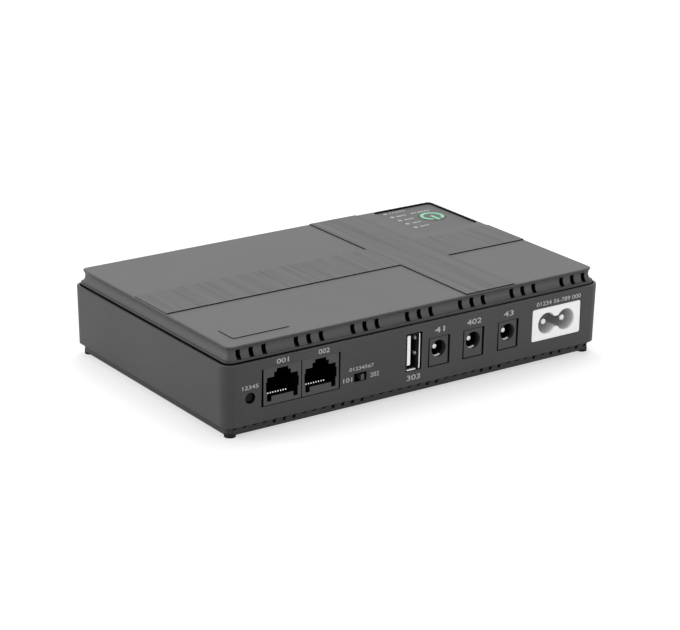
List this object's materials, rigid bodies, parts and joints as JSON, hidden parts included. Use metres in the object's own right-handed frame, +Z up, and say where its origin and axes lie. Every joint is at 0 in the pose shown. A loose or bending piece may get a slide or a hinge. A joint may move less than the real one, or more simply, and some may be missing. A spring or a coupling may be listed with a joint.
{
  "type": "uninterruptible power supply",
  "caption": "Flat low-voltage battery backup box with network, charging and barrel sockets, a two-pin mains inlet, a lit control panel and vented cover.",
  "frame": {"origin": "under the middle of the feet, on the plane it stands on", "axes": "+X to the right along the socket face, -Y out of the socket face, +Z up"},
  "size_m": [0.16, 0.1028, 0.0322],
  "materials": {
    "case_plastic": "fine grained, matt dark grey",
    "cover_plastic": "fine grained, matt dark grey",
    "overlay_film": "satin printed film",
    "button_plastic": "satin with a lit green symbol",
    "light_guide": "milky, glowing",
    "led_package": "gloss",
    "jack_plastic": "satin black-grey",
    "barrel_plastic": "satin black",
    "inlet_plastic": "satin white",
    "tongue_plastic": "satin white",
    "black_plastic": "satin black",
    "gold_plate": "bright",
    "nickel": "bright nickel",
    "shell_steel": "bright tin plate",
    "screw_steel": "dark zinc",
    "foot_rubber": "matt",
    "board_laminate": "solder mask",
    "ferrite": "matt grey",
    "bobbin_plastic": "matt cream",
    "winding": "taped winding",
    "capacitor_sleeve": "shrink sleeve",
    "film_box": "moulded box",
    "sink_aluminium": "brushed",
    "cell_wrap": "shrink wrap over a steel can",
    "cradle_plastic": "matt",
    "lead_insulation": "soft"
  },
  "bodies": {
    "body": {"base_shell": "case_plastic", "battery_cell_1": "cell_wrap", "battery_cell_2": "cell_wrap", "battery_cell_3": "cell_wrap", "battery_cell_4": "cell_wrap", "battery_cradle": "cradle_plastic", "battery_header": "bobbin_plastic", "battery_leads": "lead_insulation", "board_header": "bobbin_plastic", "board_screws": "screw_steel", "boost_inductor": "ferrite", "bridge_rectifier": "black_plastic", "bulk_capacitor": "capacitor_sleeve", "case_screws": "screw_steel", "cell_tabs": "nickel", "choke_core": "ferrite", "choke_windings": "winding", "control_chips": "black_plastic", "dc_jack_a": "barrel_plastic", "dc_jack_b": "barrel_plastic", "dc_jack_c": "barrel_plastic", "dc_jack_pins": "nickel", "dc_jack_springs": "nickel", "film_capacitor": "film_box", "fuse": "capacitor_sleeve", "heatsink": "sink_aluminium", "inlet_housing": "inlet_plastic", "inlet_pins": "nickel", "light_pipes": "light_guide", "main_board": "board_laminate", "output_capacitors": "capacitor_sleeve", "output_inductors": "ferrite", "panel_board": "board_laminate", "panel_header": "bobbin_plastic", "panel_leads": "lead_insulation", "panel_overlay": "overlay_film", "panel_screws": "screw_steel", "port_capacitors": "capacitor_sleeve", "port_magnetics": "black_plastic", "power_switch": "black_plastic", "power_transistor": "black_plastic", "reset_switch": "black_plastic", "rj45_contacts_a": "gold_plate", "rj45_contacts_b": "gold_plate", "rj45_jack_a": "jack_plastic", "rj45_jack_b": "jack_plastic", "rubber_feet": "foot_rubber", "slide_switch": "black_plastic", "status_leds": "led_package", "top_cover": "cover_plastic", "transformer_bobbin": "bobbin_plastic", "transformer_core": "ferrite", "transformer_winding": "winding", "usb_contacts": "gold_plate", "usb_insert": "tongue_plastic", "usb_shell": "shell_steel"},
    "power_button": {"power_button": "button_plastic"},
    "reset_button": {"reset_button": "black_plastic"},
    "selector": {"slide_knob": "black_plastic"}
  },
  "joints": [
    {"name": "power_button_press", "type": "slide", "parent": "body", "child": "power_button", "axis": [0, 0, -1], "range_m": [0, 0.0005], "stiffness_N_per_m": 1500, "springref_m": -0.0002},
    {"name": "reset_button_press", "type": "slide", "parent": "body", "child": "reset_button", "axis": [0, 1, 0], "range_m": [0, 0.0005], "stiffness_N_per_m": 1200, "springref_m": -0.0002},
    {"name": "selector_slide", "type": "slide", "parent": "body", "child": "selector", "axis": [1, 0, 0], "range_m": [-0.0017, 0]}
  ]
}
